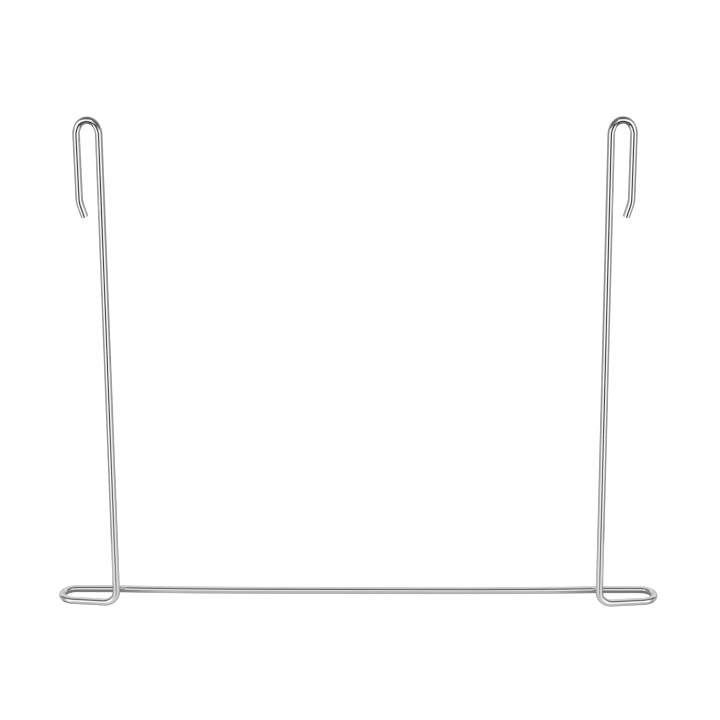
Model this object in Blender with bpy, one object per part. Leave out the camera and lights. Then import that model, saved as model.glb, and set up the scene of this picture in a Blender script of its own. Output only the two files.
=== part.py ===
"""Hook-on wire rail: one round steel wire, bent into two hooks, two legs, two end loops and a cross-bar.

The real rail is a single wire. It is modelled here as seven sections that follow one another along that
wire, each a closed solid of its own, so that the spaces between them stay open. The flats of each
section's twelve sides lie at the wire's true radius.

Frame: +X along the cross-bar, +Y from the legs back to the cross-bar, +Z up. The origin is midway
between the two hooks, level with the saddles that they hang by. The legs stand in the plane y = 0.
"""

import math

import bmesh
import bpy
from mathutils import Matrix, Vector

MM = 0.001

# The wire.
WIRE_DIAMETER = 4.0 * MM
SIDES = 12
SECTION_GAP = 0.3 * MM  # between the end faces of two sections

# The rail as a whole.
RAIL_HEIGHT = 274.8 * MM  # from the underside of the end loops to the top of the hooks
LEG_SPACING = 257.3 * MM  # between the centre lines of the legs

# The hooks, from the leg to the cut end. The bend has an easy shoulder on each side of a tight crown.
SHOULDER_RADIUS = 10.2 * MM  # of the centre line, as every radius here
SHOULDER_ANGLE = math.radians(30.0)
CROWN_RADIUS = 5.0 * MM
HOOK_TURN = math.radians(180.4)  # a little past parallel, so the hook closes towards its tip
SADDLE_ANGLE = math.radians(9.0)  # the part of the crown that the saddle's flat takes
LIMB_LENGTH = 33.8 * MM
TIP_RADIUS = 14.0 * MM
TIP_TURN = math.radians(16.2)
TIP_LENGTH = 6.5 * MM

# The end loops, from the leg round to the cross-bar.
CORNER_RADIUS = 6.8 * MM
LOOP_REACH = 29.9 * MM  # from the leg's centre line to the loop's outermost centre line
LOOP_RADIUS = 7.0 * MM
LOOP_SPLAY = math.radians(6.7)  # how far the loop falls short of a full half turn

# The cross-bar.
BAR_BOW = 0.85 * MM  # how far its middle hangs below its ends
BAR_STEPS = 13  # between the legs

STEP_ANGLE = math.radians(9.0)  # the longest stretch of a bend between two rings

STEEL_COLOUR = (0.72, 0.72, 0.73, 1.0)
STEEL_ROUGHNESS = 0.14

WIRE_RADIUS = WIRE_DIAMETER / 2
CORNER_OF_SIDES = WIRE_RADIUS / math.cos(math.pi / SIDES)

# Levels: the saddle's flat lies at z = 0, a little nearer the crown's centre than the crown's inner side.
CROWN_CENTRE_Z = -(CROWN_RADIUS - WIRE_RADIUS) * math.cos(SADDLE_ANGLE / 2)
LEG_TOP_Z = CROWN_CENTRE_Z - (SHOULDER_RADIUS - CROWN_RADIUS) * math.sin(SHOULDER_ANGLE)
RAIL_TOP_Z = CROWN_CENTRE_Z + CROWN_RADIUS + WIRE_RADIUS
BASE_Z = RAIL_TOP_Z - RAIL_HEIGHT + WIRE_RADIUS

UP = Vector((0.0, 0.0, 1.0))
BACK = Vector((0.0, 1.0, 0.0))
RIGHT = Vector((1.0, 0.0, 0.0))


class Wire:
    """The centre line of one section, made as a wire bender makes it: fed straight on or bent."""

    def __init__(self, start, heading, across):
        self.at = start.copy()
        self.heading = heading.normalized()
        self.across = across.normalized()
        self.rings = [self.ring()]

    def ring(self):
        """The corners of the wire's cross-section here, with flats facing along and square to across."""
        other = self.heading.cross(self.across)
        angles = [2 * math.pi * (k + 0.5) / SIDES for k in range(SIDES)]
        return [
            self.at + CORNER_OF_SIDES * (math.cos(a) * self.across + math.sin(a) * other) for a in angles
        ]

    def skip(self, length):
        """Moves the start of the section on, before anything has been fed."""
        self.at += self.heading * length
        self.rings = [self.ring()]

    def feed(self, length):
        self.at += self.heading * length
        self.rings.append(self.ring())

    def bend(self, radius, angle, towards):
        """Bends the wire by angle, towards the side that the vector towards points to."""
        towards = (towards - self.heading * towards.dot(self.heading)).normalized()
        centre = self.at + towards * radius
        steps = max(1, math.ceil(angle / STEP_ANGLE - 1e-6))
        turn = Matrix.Rotation(angle / steps, 3, self.heading.cross(towards))
        for _ in range(steps):
            self.at = centre + turn @ (self.at - centre)
            self.heading = turn @ self.heading
            self.across = turn @ self.across
            self.rings.append(self.ring())


def steel(name):
    material = bpy.data.materials.new(name)
    material.use_nodes = True
    shader = material.node_tree.nodes["Principled BSDF"]
    shader.inputs["Base Color"].default_value = STEEL_COLOUR
    shader.inputs["Metallic"].default_value = 1.0
    shader.inputs["Roughness"].default_value = STEEL_ROUGHNESS
    return material


def add_section(name, rings):
    """One closed solid: its rings joined by quads, with a flat face over each end."""
    shape = bmesh.new()
    loops = [[shape.verts.new(corner) for corner in ring] for ring in rings]
    for near, far in zip(loops, loops[1:]):
        for k in range(SIDES):
            after = (k + 1) % SIDES
            shape.faces.new((near[k], near[after], far[after], far[k]))
    shape.faces.new(loops[0])
    shape.faces.new(loops[-1])
    bmesh.ops.recalc_face_normals(shape, faces=shape.faces)

    mesh = bpy.data.meshes.new(name)
    shape.to_mesh(mesh)
    shape.free()
    mesh.shade_smooth()
    mesh.set_sharp_from_angle(angle=math.radians(40.0))
    mesh.materials.append(steel(name + "_steel"))
    section = bpy.data.objects.new(name, mesh)
    bpy.context.scene.collection.objects.link(section)


def add_leg(name, x):
    foot = Vector((x, 0.0, BASE_Z + CORNER_RADIUS))
    leg = Wire(foot, UP, BACK)
    leg.skip(SECTION_GAP)
    leg.feed(LEG_TOP_Z - foot.z - 2 * SECTION_GAP)
    add_section(name, leg.rings)


def add_hook(name, x, outward):
    """Up from the leg, over the saddle, down the limb and in towards the leg at the tip."""
    hook = Wire(Vector((x, 0.0, LEG_TOP_Z)), UP, BACK)
    before_saddle = math.radians(90.0) - SHOULDER_ANGLE - SADDLE_ANGLE / 2
    after_saddle = HOOK_TURN - 2 * SHOULDER_ANGLE - before_saddle - SADDLE_ANGLE
    hook.bend(SHOULDER_RADIUS, SHOULDER_ANGLE, outward)
    hook.bend(CROWN_RADIUS, before_saddle, outward)
    hook.bend(CROWN_RADIUS, SADDLE_ANGLE, -UP)
    hook.bend(CROWN_RADIUS, after_saddle, -UP)
    hook.bend(SHOULDER_RADIUS, SHOULDER_ANGLE, -UP)
    hook.feed(LIMB_LENGTH)
    hook.bend(TIP_RADIUS, TIP_TURN, -outward)
    hook.feed(TIP_LENGTH)
    add_section(name, hook.rings)


def add_end_loop(name, x, outward):
    """Out from the foot of the leg and round to the back. Returns where it meets the cross-bar."""
    along = (outward * math.cos(LOOP_SPLAY) + BACK * math.sin(LOOP_SPLAY)).normalized()
    centre_y = (LOOP_RADIUS + (LOOP_REACH - LOOP_RADIUS) * math.sin(LOOP_SPLAY)) / math.cos(LOOP_SPLAY)
    foot_to_turn = (LOOP_REACH - LOOP_RADIUS) * math.cos(LOOP_SPLAY) + centre_y * math.sin(LOOP_SPLAY)

    loop = Wire(Vector((x, 0.0, BASE_Z + CORNER_RADIUS)), -UP, UP.cross(along))
    loop.bend(CORNER_RADIUS, math.radians(90.0), along)
    loop.feed(foot_to_turn - CORNER_RADIUS)
    loop.bend(LOOP_RADIUS, math.radians(180.0) - LOOP_SPLAY, BACK)
    add_section(name, loop.rings)
    return loop.at


def add_cross_bar(name, left_end, right_end):
    """From loop to loop: level behind each end loop, and bowed down a little between the legs."""
    middle = (left_end + right_end) / 2
    end = right_end.x - SECTION_GAP
    leg = LEG_SPACING / 2
    places = [-end] + [leg * (2 * k / BAR_STEPS - 1) for k in range(BAR_STEPS + 1)] + [end]
    rings = []
    for x in places:
        drop = BAR_BOW * max(0.0, 1 - (x / leg) ** 4)
        rings.append(Wire(middle + Vector((x, 0.0, -drop)), RIGHT, BACK).ring())
    add_section(name, rings)


def build():
    for old in list(bpy.data.objects):
        bpy.data.objects.remove(old)
    bar_ends = {}
    for side, sign in (("left", -1.0), ("right", 1.0)):
        x = sign * LEG_SPACING / 2
        outward = sign * RIGHT
        add_hook(side + "_hook", x, outward)
        add_leg(side + "_leg", x)
        bar_ends[side] = add_end_loop(side + "_end_loop", x, outward)
    add_cross_bar("cross_bar", bar_ends["left"], bar_ends["right"])


build()
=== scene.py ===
"""The looks of the hook-on wire rack: one bright steel wire in a white studio with dark cards."""

import math
from collections import namedtuple

import bmesh
import bpy
from mathutils import Matrix, Vector


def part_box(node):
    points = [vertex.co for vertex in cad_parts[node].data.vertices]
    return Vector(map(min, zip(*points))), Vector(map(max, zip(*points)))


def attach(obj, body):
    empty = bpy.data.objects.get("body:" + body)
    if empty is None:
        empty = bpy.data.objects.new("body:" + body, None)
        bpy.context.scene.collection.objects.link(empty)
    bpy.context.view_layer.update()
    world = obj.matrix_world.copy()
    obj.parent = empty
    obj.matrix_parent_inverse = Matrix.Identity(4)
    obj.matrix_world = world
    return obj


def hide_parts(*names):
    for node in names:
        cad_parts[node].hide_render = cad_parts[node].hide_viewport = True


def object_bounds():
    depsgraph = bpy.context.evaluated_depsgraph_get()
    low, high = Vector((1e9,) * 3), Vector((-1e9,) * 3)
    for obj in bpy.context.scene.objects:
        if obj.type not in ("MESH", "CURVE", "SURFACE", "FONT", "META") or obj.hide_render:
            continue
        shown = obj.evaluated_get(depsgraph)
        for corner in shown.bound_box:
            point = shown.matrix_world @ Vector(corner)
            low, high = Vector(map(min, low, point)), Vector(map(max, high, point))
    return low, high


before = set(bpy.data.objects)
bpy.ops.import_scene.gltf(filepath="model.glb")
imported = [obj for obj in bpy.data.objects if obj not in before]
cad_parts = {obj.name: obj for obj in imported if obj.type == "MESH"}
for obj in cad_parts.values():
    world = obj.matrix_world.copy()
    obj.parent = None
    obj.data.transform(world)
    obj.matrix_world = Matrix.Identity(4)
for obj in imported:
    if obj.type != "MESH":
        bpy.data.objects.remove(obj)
CAD_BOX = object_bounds()

MM = 0.001
UP = Vector((0.0, 0.0, 1.0))
BACK = Vector((0.0, 1.0, 0.0))
RIGHT = Vector((1.0, 0.0, 0.0))
NOWHERE = Vector((0.0, 0.0, 0.0))

# The wire's bends, as in the CAD model. Every other size is read from the CAD model's boxes.
SHOULDER_RADIUS = 10.2 * MM
SHOULDER_ANGLE = math.radians(30.0)
CROWN_RADIUS = 5.0 * MM
HOOK_TURN = math.radians(180.4)
LIMB_LENGTH = 33.8 * MM
TIP_RADIUS = 14.0 * MM
TIP_TURN = math.radians(16.2)
TIP_LENGTH = 6.5 * MM
LOOP_SPLAY = math.radians(6.7)

# How finely the visible wire is divided.
SIDES = 40
STEP_ANGLE = math.radians(3.0)
STEP_LENGTH = 4.0 * MM
CHAMFER = 0.1 * MM  # round the cut ends
SHARP_ANGLE = math.radians(30.0)  # between two faces, from which their edge is shaded sharp

# The steel. A pattern is noise with so many features to a mm, across the wire and along it. A span is
# the part of a value's range over which the steel changes from one look to the other.
Pattern = namedtuple("Pattern", "across along detail")
DRAW_LINES = Pattern(across=3.0, along=0.04, detail=3.0)
DRAW_LINES_SPAN = (0.3, 0.7)
DRAW_LINE_DEPTH = 0.003 * MM
WAVES = Pattern(across=0.35, along=0.03, detail=1.0)
WAVE_DEPTH = 0.02 * MM
MOTTLE = Pattern(across=1.6, along=1.1, detail=4.0)
MOTTLE_SPAN = (0.38, 0.62)
RUBBED_SPAN = (0.45, 0.95)
DRAWN_LIGHT = (0.80, 0.80, 0.80, 1.0)
DRAWN_DARK = (0.73, 0.73, 0.735, 1.0)
SCUFFED = (0.48, 0.48, 0.485, 1.0)
DRAWN_ROUGHNESS = (0.03, 0.09)
SCUFF_ROUGHNESS = 0.4  # on top of the drawn steel's

# The studio as the wire sees it, in stops of (degrees, brightness). Azimuths are degrees from straight
# in front, to either side. Lifts are degrees from straight in front, up and over the top to behind.
AROUND_LOW = [
    (0, 0.02), (21, 0.02), (28, 1.6), (51, 1.6), (63, 0.34), (130, 0.34), (160, 0.55), (180, 0.8),
]
AROUND_HIGH = [(0, 1.32), (58, 1.32), (76, 0.5), (180, 0.5)]
OVER = [(0, 0.06), (62, 0.06), (80, 0.40), (92, 0.85), (140, 0.88), (160, 0.65), (180, 0.55)]
UNDER = 0.15
UNDER_EDGE = -42  # degrees of elevation: what lies below is UNDER
LOW_EDGE = -2  # degrees of elevation, between AROUND_LOW and AROUND_HIGH
OVER_EDGE = 36  # degrees of lift: what lies above is OVER
EDGE_SOFTNESS = 3
WRAP = 0.6  # how far the lifts wrap round to the sides

# The floor, some way below the rack, which hangs. Its own glow keeps it white out to its far edge.
FLOOR_DROP = 40.0 * MM
FLOOR_SIZE = 8.0
FLOOR_GREY = 0.92
FLOOR_GLOW = 0.52
MATT_ROUGHNESS = 0.6

# The cards, which only the wire's reflections see. The table lies just under the rack: how much of it
# is seen, and how bright it is, by mm behind the legs.
TABLE_GAP = 0.2 * MM
TABLE_WIDTH = 420.0 * MM
TABLE_SEEN = [
    (-250, 0.0), (-216, 0.1), (-120, 0.2), (-67, 0.3), (-40, 0.4), (-20, 0.58), (-8, 1.0), (40, 1.0),
]
# Painted light, with painted contact shadows under the base wires and behind the cross-bar.
TABLE_PAINTED_LIGHT = [
    (-250, 0.65), (-30, 0.65), (-12, 0.78), (-6, 0.78), (-3, 0.62), (0, 0.48), (3, 0.45), (5, 0.64),
    (12, 0.64), (17, 0.45), (40, 0.45),
]

# A shade on the table under each end loop: how much of it is seen, by mm from the middle of the rack.
SHADE_SEEN = [(104, 0.0), (130, 1.0), (160, 1.0)]
SHADE_RISE = 0.1 * MM  # above the table
SHADE_Y = 9.0 * MM
SHADE_DEPTH = 15.0 * MM
SHADE_GLOW = 0.24

# A thin upright strip in front of the cross-bar: how bright it is, by mm from the middle of the rack.
STRIP_Y = 8.0 * MM
STRIP_RISE = 0.3 * MM  # above the middle of the cross-bar
STRIP_HEIGHT = 2.8 * MM
# Painted reflection in the cross-bar's lower front, dimmed beyond the legs as painted shade in the end
# loops.
STRIP_PAINTED_LIGHT = [(0, 0.52), (105, 0.52), (122, 0.15), (152, 0.15)]

# A flag on edge in front, between the legs, and a level one over the hooks.
MIDDLE_FLAG_CENTRE = Vector((0.0, -200.0, 100.0)) * MM
MIDDLE_FLAG_SIZE = (220.0 * MM, 360.0 * MM)
MIDDLE_FLAG_GLOW = 0.15
HOOK_FLAG_CENTRE = Vector((0.0, 1.0, 14.0)) * MM
HOOK_FLAG_SIZE = (320.0 * MM, 14.0 * MM)
HOOK_FLAG_GLOW = 0.2

# How a plane is turned.
LYING = (0.0, 0.0, 0.0)
FACING_FRONT = (math.radians(90.0), 0.0, 0.0)
FACING_SIDE = (0.0, math.radians(90.0), 0.0)

# The softbox overhead, which the wire doesn't reflect.
SOFTBOX_SIZE = 2.4
SOFTBOX_HEIGHT = 1.6
SOFTBOX_WATTS = 8.0

# The camera, which stands a little to the right of the middle and looks down on the rack.
CAMERA_DISTANCE = 1.657
CAMERA_PITCH = math.radians(22.58)
CAMERA_YAW = math.radians(0.985)
CAMERA_ROLL = math.radians(-0.338)
CAMERA_AIM = Vector((1.96, 3.5, -129.69)) * MM
CAMERA_LENS = 160.0  # in mm, as the sensor's width
SENSOR_WIDTH = 36.0
FARTHEST_SEEN = 50.0


# A place on the wire's centre line. Rubbed points to the side that the bender's pin has rubbed.
Station = namedtuple("Station", "at heading rubbed")


class Bender:
    """A wire's centre line as a bender makes it, fed straight on or bent: a list of stations."""

    def __init__(self, start, heading):
        self.at = start.copy()
        self.heading = heading.normalized()
        self.stations = []
        self.mark(NOWHERE)

    def mark(self, rubbed):
        self.stations.append(Station(self.at.copy(), self.heading.copy(), rubbed))

    def feed(self, length):
        steps = max(1, math.ceil(length / STEP_LENGTH))
        for _ in range(steps):
            self.at += self.heading * (length / steps)
            self.mark(NOWHERE)

    def bend(self, radius, angle, towards):
        """Bends the wire by angle, towards the side that the vector towards points to."""
        towards = (towards - self.heading * towards.dot(self.heading)).normalized()
        centre = self.at + towards * radius
        steps = max(1, math.ceil(angle / STEP_ANGLE - 1e-6))
        turn = Matrix.Rotation(angle / steps, 3, self.heading.cross(towards))
        tightness = min(1.0, CROWN_RADIUS / radius)  # no bend is tighter than a hook's crown
        for _ in range(steps):
            self.at = centre + turn @ (self.at - centre)
            self.heading = turn @ self.heading
            self.mark((centre - self.at).normalized() * tightness)


def leg_line(side):
    """The x of a leg's centre line, and the wire's radius."""
    low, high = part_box(side + "_leg")
    return (low.x + high.x) / 2, (high.x - low.x) / 2


def half_wire(side, sign):
    """The stations from one end of the cross-bar, round the end loop and up to the hook's tip."""
    hook_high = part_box(side + "_hook")[1]
    loop_low, loop_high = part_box(side + "_end_loop")
    bar_low, bar_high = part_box("cross_bar")

    leg_x, radius = leg_line(side)
    outward = sign * RIGHT
    crown_centre_z = hook_high.z - radius - CROWN_RADIUS
    leg_top_z = crown_centre_z - (SHOULDER_RADIUS - CROWN_RADIUS) * math.sin(SHOULDER_ANGLE)
    base_z = loop_low.z + radius
    corner_radius = loop_high.z - base_z
    bar_y = (bar_low.y + bar_high.y) / 2
    reach = abs((loop_low.x if sign < 0 else loop_high.x) - leg_x) - radius

    # The loop's radius is the one that carries a splayed base wire round to the cross-bar's line.
    sine, cosine = math.sin(LOOP_SPLAY), math.cos(LOOP_SPLAY)
    loop_radius = (bar_y - reach * sine / cosine) / (1 + (1 - sine) / cosine)
    centre_y = bar_y - loop_radius
    base_length = (reach - loop_radius) * cosine + centre_y * sine - corner_radius
    bar_end = Vector((leg_x + sign * (reach - loop_radius), bar_y, base_z))

    wire = Bender(bar_end, outward)
    wire.bend(loop_radius, math.radians(180.0) - LOOP_SPLAY, -BACK)
    wire.feed(base_length)
    wire.bend(corner_radius, math.radians(90.0), UP)
    wire.feed(leg_top_z - wire.at.z)
    wire.bend(SHOULDER_RADIUS, SHOULDER_ANGLE, outward)
    wire.bend(CROWN_RADIUS, HOOK_TURN - 2 * SHOULDER_ANGLE, outward)
    wire.bend(SHOULDER_RADIUS, SHOULDER_ANGLE, -UP)
    wire.feed(LIMB_LENGTH)
    wire.bend(TIP_RADIUS, TIP_TURN, -outward)
    wire.feed(TIP_LENGTH)
    return wire.stations


def cross_bar(left_end, right_end):
    """The stations between the two end loops: level behind the loops, bowed down between the legs."""
    low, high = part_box("cross_bar")
    bow = (high.z - low.z) - (high.y - low.y)
    leg_x = leg_line("right")[0]
    middle = (left_end + right_end) / 2
    steps = math.ceil((right_end.x - left_end.x) / STEP_LENGTH)
    stations = []
    for k in range(1, steps):
        x = (2 * k / steps - 1) * right_end.x
        drop = bow * max(0.0, 1 - (x / leg_x) ** 4)
        stations.append(Station(middle + Vector((x, 0.0, -drop)), RIGHT, NOWHERE))
    return stations


def reversed_stations(stations):
    return [Station(at, -heading, rubbed) for at, heading, rubbed in reversed(stations)]


def sections(stations, radius):
    """Pairs of a station and the wire's radius there, with a chamfer at both ends."""
    first, last = stations[0], stations[-1]
    start = first._replace(at=first.at + first.heading * CHAMFER)
    end = last._replace(at=last.at - last.heading * CHAMFER)
    full = [(station, radius) for station in (start, *stations[1:-1], end)]
    return [(first, radius - CHAMFER)] + full + [(last, radius - CHAMFER)]


def wire_mesh(stations, radius):
    """A round tube along the stations, with the attributes that the steel needs."""
    shape = bmesh.new()
    wire_space = shape.verts.layers.float_vector.new("wire_space")
    rubbed = shape.verts.layers.float.new("rubbed")
    cut_end = shape.verts.layers.float.new("cut_end")
    angles = [2 * math.pi * k / SIDES for k in range(SIDES)]
    around = [(math.cos(angle), math.sin(angle)) for angle in angles]

    loops = []
    run, side, before = 0.0, BACK, stations[0]
    for station, size in sections(stations, radius):
        run += (station.at - before.at).length
        # The side is carried along the wire and never twists about it.
        side = before.heading.rotation_difference(station.heading) @ side
        side = (side - station.heading * side.dot(station.heading)).normalized()
        other = station.heading.cross(side)
        before = station
        loop = []
        for cosine, sine in around:
            out = cosine * side + sine * other
            vertex = shape.verts.new(station.at + size * out)
            vertex[wire_space] = Vector((cosine * radius, sine * radius, run)) / MM
            vertex[rubbed] = max(0.0, out.dot(station.rubbed))
            loop.append(vertex)
        loops.append(loop)
    for near, far in zip(loops, loops[1:]):
        for k in range(SIDES):
            after = (k + 1) % SIDES
            shape.faces.new((near[k], near[after], far[after], far[k]))
    for loop in (loops[0], loops[-1]):
        shape.faces.new(loop)
        for vertex in loop:
            vertex[cut_end] = 1.0
    bmesh.ops.recalc_face_normals(shape, faces=shape.faces)

    mesh = bpy.data.meshes.new("bent_wire")
    shape.to_mesh(mesh)
    shape.free()
    mesh.shade_smooth()
    mesh.set_sharp_from_angle(angle=SHARP_ANGLE)
    return mesh


def grey(brightness):
    return (brightness, brightness, brightness, 1.0)


class Shading:
    """Adds nodes to a material or a world. All methods but give return the output of what they add."""

    def __init__(self, owner):
        owner.use_nodes = True
        self.nodes = owner.node_tree.nodes
        self.links = owner.node_tree.links

    def give(self, socket, value):
        """Sets a socket to a number or a colour, or joins another node's output to it."""
        if isinstance(value, bpy.types.NodeSocket):
            self.links.new(value, socket)
        else:
            socket.default_value = value

    def attribute(self, name, output):
        node = self.nodes.new("ShaderNodeAttribute")
        node.attribute_name = name
        return node.outputs[output]

    def maths(self, operation, *values):
        node = self.nodes.new("ShaderNodeMath")
        node.operation = operation
        for socket, value in zip(node.inputs, values):
            self.give(socket, value)
        return node.outputs[0]

    def mix(self, factor, first, second):
        node = self.nodes.new("ShaderNodeMix")
        node.data_type = "RGBA"
        self.give(node.inputs["Factor"], factor)
        self.give(node.inputs["A"], first)
        self.give(node.inputs["B"], second)
        return node.outputs["Result"]

    def spread(self, value, lowest, highest, to_low=0.0, to_high=1.0):
        """Stretches the span from lowest to highest to the other span, and holds at both of its ends."""
        node = self.nodes.new("ShaderNodeMapRange")
        self.give(node.inputs["Value"], value)
        self.give(node.inputs["From Min"], lowest)
        self.give(node.inputs["From Max"], highest)
        self.give(node.inputs["To Min"], to_low)
        self.give(node.inputs["To Max"], to_high)
        return node.outputs[0]

    def edge(self, value, place):
        """0 where the value is below the place and 1 where it is above, with a soft edge."""
        result = self.spread(value, place - EDGE_SOFTNESS, place + EDGE_SOFTNESS)
        result.node.interpolation_type = "SMOOTHSTEP"
        return result

    def ramp(self, value, stops):
        """Brightness by value, from stops of (value, brightness)."""
        lowest, highest = stops[0][0], stops[-1][0]
        node = self.nodes.new("ShaderNodeValToRGB")
        self.give(node.inputs[0], self.spread(value, lowest, highest))
        elements = node.color_ramp.elements
        elements.remove(elements[-1])
        for k, (place, brightness) in enumerate(stops):
            position = (place - lowest) / (highest - lowest)
            element = elements.new(position) if k else elements[0]
            element.position = position
            element.color = grey(brightness)
        return node.outputs["Color"]

    def noise(self, space, pattern):
        scaled = self.nodes.new("ShaderNodeVectorMath")
        scaled.operation = "MULTIPLY"
        self.give(scaled.inputs[0], space)
        self.give(scaled.inputs[1], (pattern.across, pattern.across, pattern.along))
        node = self.nodes.new("ShaderNodeTexNoise")
        self.give(node.inputs["Vector"], scaled.outputs[0])
        self.give(node.inputs["Scale"], 1.0)
        self.give(node.inputs["Detail"], pattern.detail)
        return node.outputs["Fac"]

    def bump(self, height, depth, normal=None):
        node = self.nodes.new("ShaderNodeBump")
        self.give(node.inputs["Height"], height)
        self.give(node.inputs["Strength"], 1.0)
        self.give(node.inputs["Distance"], depth)
        if normal:
            self.give(node.inputs["Normal"], normal)
        return node.outputs[0]


def steel_material():
    """Bright drawn steel: streaked along the wire, scuffed inside its bends and dull where it is cut."""
    material = bpy.data.materials.new("bright_drawn_wire")
    shading = Shading(material)
    steel = shading.nodes["Principled BSDF"].inputs

    wire_space = shading.attribute("wire_space", "Vector")
    draw_lines = shading.noise(wire_space, DRAW_LINES)
    waves = shading.noise(wire_space, WAVES)
    mottle = shading.spread(shading.noise(wire_space, MOTTLE), *MOTTLE_SPAN)
    rubbed = shading.spread(shading.attribute("rubbed", "Fac"), *RUBBED_SPAN)
    cut_end = shading.attribute("cut_end", "Fac")
    scuffed = shading.maths("MAXIMUM", shading.maths("MULTIPLY", rubbed, mottle), cut_end)

    drawn = shading.mix(shading.spread(draw_lines, *DRAW_LINES_SPAN), DRAWN_DARK, DRAWN_LIGHT)
    smooth = shading.spread(draw_lines, *DRAW_LINES_SPAN, *DRAWN_ROUGHNESS)
    scuffs = shading.maths("MULTIPLY", scuffed, SCUFF_ROUGHNESS)
    wavy = shading.bump(waves, WAVE_DEPTH)
    shading.give(steel["Metallic"], 1.0)
    shading.give(steel["Base Color"], shading.mix(scuffed, drawn, SCUFFED))
    shading.give(steel["Roughness"], shading.maths("ADD", smooth, scuffs))
    shading.give(steel["Normal"], shading.bump(draw_lines, DRAW_LINE_DEPTH, wavy))
    return material


def make_wire():
    left = half_wire("left", -1.0)
    right = half_wire("right", 1.0)
    bar = cross_bar(left[0].at, right[0].at)
    mesh = wire_mesh(reversed_stations(left) + bar + right, leg_line("right")[1])
    mesh.materials.append(steel_material())
    wire = bpy.data.objects.new("bent_wire", mesh)
    bpy.context.scene.collection.objects.link(wire)
    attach(wire, "root")
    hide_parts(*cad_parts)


def add_plane(name, centre, width, depth, turned, colour, glow):
    """A matt plane that glows white on top of what it is lit with. Returns it and its shading."""
    mesh = bpy.data.meshes.new(name)
    x, y = width / 2, depth / 2
    mesh.from_pydata([(-x, -y, 0.0), (x, -y, 0.0), (x, y, 0.0), (-x, y, 0.0)], [], [(0, 1, 2, 3)])
    plane = bpy.data.objects.new(name, mesh)
    plane.location = centre
    plane.rotation_euler = turned
    bpy.context.scene.collection.objects.link(plane)
    material = bpy.data.materials.new(name)
    mesh.materials.append(material)
    shading = Shading(material)
    surface = shading.nodes["Principled BSDF"].inputs
    shading.give(surface["Base Color"], colour)
    shading.give(surface["Roughness"], MATT_ROUGHNESS)
    shading.give(surface["Specular IOR Level"], 0.0)
    shading.give(surface["Emission Color"], grey(1.0))
    shading.give(surface["Emission Strength"], glow)
    return plane, shading


def add_card(name, centre, width, depth, turned=LYING, glow=1.0):
    """A plane that only glows, and that only the wire's reflections see. Returns its shading."""
    card, shading = add_plane(name, centre, width, depth, turned, grey(0.0), glow)
    card.visible_camera = False
    card.visible_shadow = False
    card.visible_diffuse = False
    return shading


def set_along(shading, axis, socket, stops):
    """Sets a socket of a card's shader from stops of (mm, value) along the scene's X, both ways, or Y."""
    position = shading.nodes.new("ShaderNodeNewGeometry").outputs["Position"]
    split = shading.nodes.new("ShaderNodeSeparateXYZ")
    shading.give(split.inputs[0], position)
    place = shading.maths("MULTIPLY", split.outputs[axis], 1 / MM)
    if axis == "X":
        place = shading.maths("ABSOLUTE", place)
    shading.give(shading.nodes["Principled BSDF"].inputs[socket], shading.ramp(place, stops))


def make_floor(level):
    centre = Vector((0.0, 0.0, level - FLOOR_DROP))
    floor, _ = add_plane("floor", centre, FLOOR_SIZE, FLOOR_SIZE, LYING, grey(FLOOR_GREY), FLOOR_GLOW)
    floor.visible_glossy = False


def make_table(level):
    near, far = TABLE_SEEN[0][0] * MM, TABLE_SEEN[-1][0] * MM
    table = add_card("near_table", Vector((0.0, (near + far) / 2, level)), TABLE_WIDTH, far - near)
    # painted light on the table card, with painted contact shadows under the wires
    set_along(table, "Y", "Emission Color", TABLE_PAINTED_LIGHT)
    set_along(table, "Y", "Alpha", TABLE_SEEN)


def make_loop_shade(side, sign, level):
    low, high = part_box(side + "_end_loop")
    inner, outer = SHADE_SEEN[0][0] * MM, max(abs(low.x), abs(high.x))
    centre = Vector((sign * (inner + outer) / 2, SHADE_Y, level + SHADE_RISE))
    shade = add_card(side + "_loop_shade", centre, outer - inner, SHADE_DEPTH, glow=SHADE_GLOW)
    set_along(shade, "X", "Alpha", SHADE_SEEN)


def make_cards(level):
    make_table(level)
    make_loop_shade("left", -1.0, level)
    make_loop_shade("right", 1.0, level)

    bar_low, bar_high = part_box("cross_bar")
    centre = Vector((0.0, STRIP_Y, (bar_low.z + bar_high.z) / 2 + STRIP_RISE))
    strip = add_card("bar_strip", centre, 2 * STRIP_PAINTED_LIGHT[-1][0] * MM, STRIP_HEIGHT, FACING_FRONT)
    # painted reflection in the cross-bar, dimmed as painted shade in the end loops
    set_along(strip, "X", "Emission Color", STRIP_PAINTED_LIGHT)

    add_card("middle_flag", MIDDLE_FLAG_CENTRE, *MIDDLE_FLAG_SIZE, FACING_SIDE, MIDDLE_FLAG_GLOW)
    add_card("hook_flag", HOOK_FLAG_CENTRE, *HOOK_FLAG_SIZE, LYING, HOOK_FLAG_GLOW)


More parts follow.
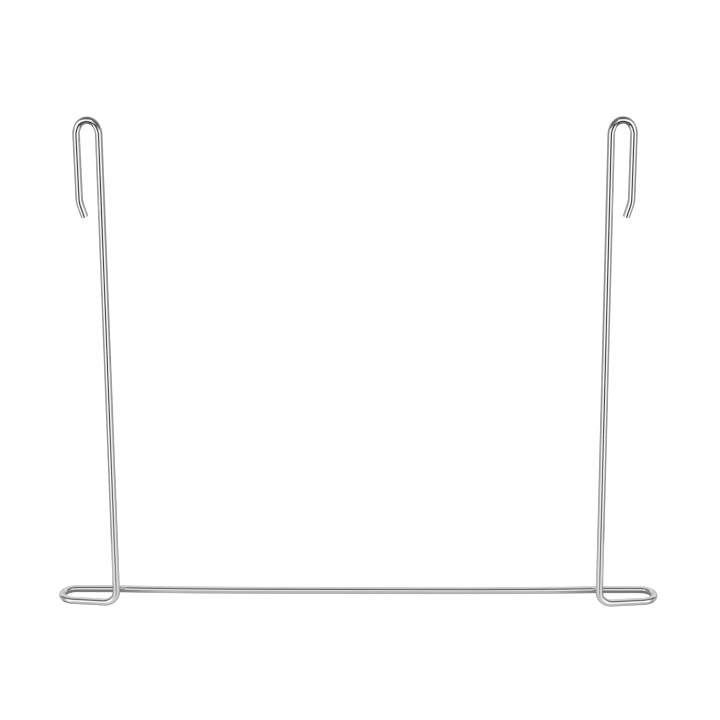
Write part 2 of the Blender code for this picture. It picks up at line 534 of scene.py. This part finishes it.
def make_world():
    """What the wire reflects, in bands of brightness. The camera itself sees plain white."""
    world = bpy.data.worlds.new("studio")
    bpy.context.scene.world = world
    shading = Shading(world)
    shading.nodes.clear()
    direction = shading.nodes.new("ShaderNodeTexCoord").outputs["Generated"]
    split = shading.nodes.new("ShaderNodeSeparateXYZ")
    shading.give(split.inputs[0], direction)
    rightwards, upwards = split.outputs["X"], split.outputs["Z"]
    forwards = shading.maths("MULTIPLY", split.outputs["Y"], -1.0)

    def angle(opposite, adjacent):
        return shading.maths("DEGREES", shading.maths("ARCTAN2", opposite, adjacent))

    elevation = shading.maths("DEGREES", shading.maths("ARCSINE", upwards))
    azimuth = shading.maths("ABSOLUTE", angle(rightwards, forwards))
    wrapped = shading.maths("MULTIPLY", shading.maths("ABSOLUTE", rightwards), WRAP)
    lift = angle(upwards, shading.maths("ADD", forwards, wrapped))

    low = shading.ramp(azimuth, AROUND_LOW)
    low = shading.mix(shading.edge(elevation, UNDER_EDGE), grey(UNDER), low)
    high = shading.ramp(azimuth, AROUND_HIGH)
    high = shading.mix(shading.edge(lift, OVER_EDGE), high, shading.ramp(lift, OVER))
    reflected = shading.mix(shading.edge(elevation, LOW_EDGE), low, high)

    seen_directly = shading.nodes.new("ShaderNodeLightPath").outputs["Is Camera Ray"]
    background = shading.nodes.new("ShaderNodeBackground")
    shading.give(background.inputs["Color"], shading.mix(seen_directly, reflected, grey(1.0)))
    output = shading.nodes.new("ShaderNodeOutputWorld")
    shading.give(output.inputs["Surface"], background.outputs[0])


def make_light():
    light = bpy.data.lights.new("overhead_softbox", "AREA")
    light.shape = "SQUARE"
    light.size = SOFTBOX_SIZE
    light.energy = SOFTBOX_WATTS
    lamp = bpy.data.objects.new("overhead_softbox", light)
    lamp.location = (0.0, 0.0, SOFTBOX_HEIGHT)
    lamp.visible_glossy = False
    bpy.context.scene.collection.objects.link(lamp)


def make_camera():
    data = bpy.data.cameras.new("camera")
    data.lens = CAMERA_LENS
    data.sensor_width = SENSOR_WIDTH
    data.clip_end = FARTHEST_SEEN
    camera = bpy.data.objects.new("camera", data)
    turn = (
        Matrix.Rotation(CAMERA_YAW, 4, "Z")
        @ Matrix.Rotation(math.radians(90.0) - CAMERA_PITCH, 4, "X")
        @ Matrix.Rotation(CAMERA_ROLL, 4, "Z")
    )
    forward = turn @ Vector((0.0, 0.0, -1.0))
    camera.matrix_world = Matrix.Translation(CAMERA_AIM - forward * CAMERA_DISTANCE) @ turn
    bpy.context.scene.collection.objects.link(camera)
    bpy.context.scene.camera = camera


table_level = CAD_BOX[0][2] - TABLE_GAP
make_camera()
make_wire()
make_floor(table_level)
make_cards(table_level)
make_light()
make_world()
bpy.context.scene.view_settings.view_transform = "Standard"
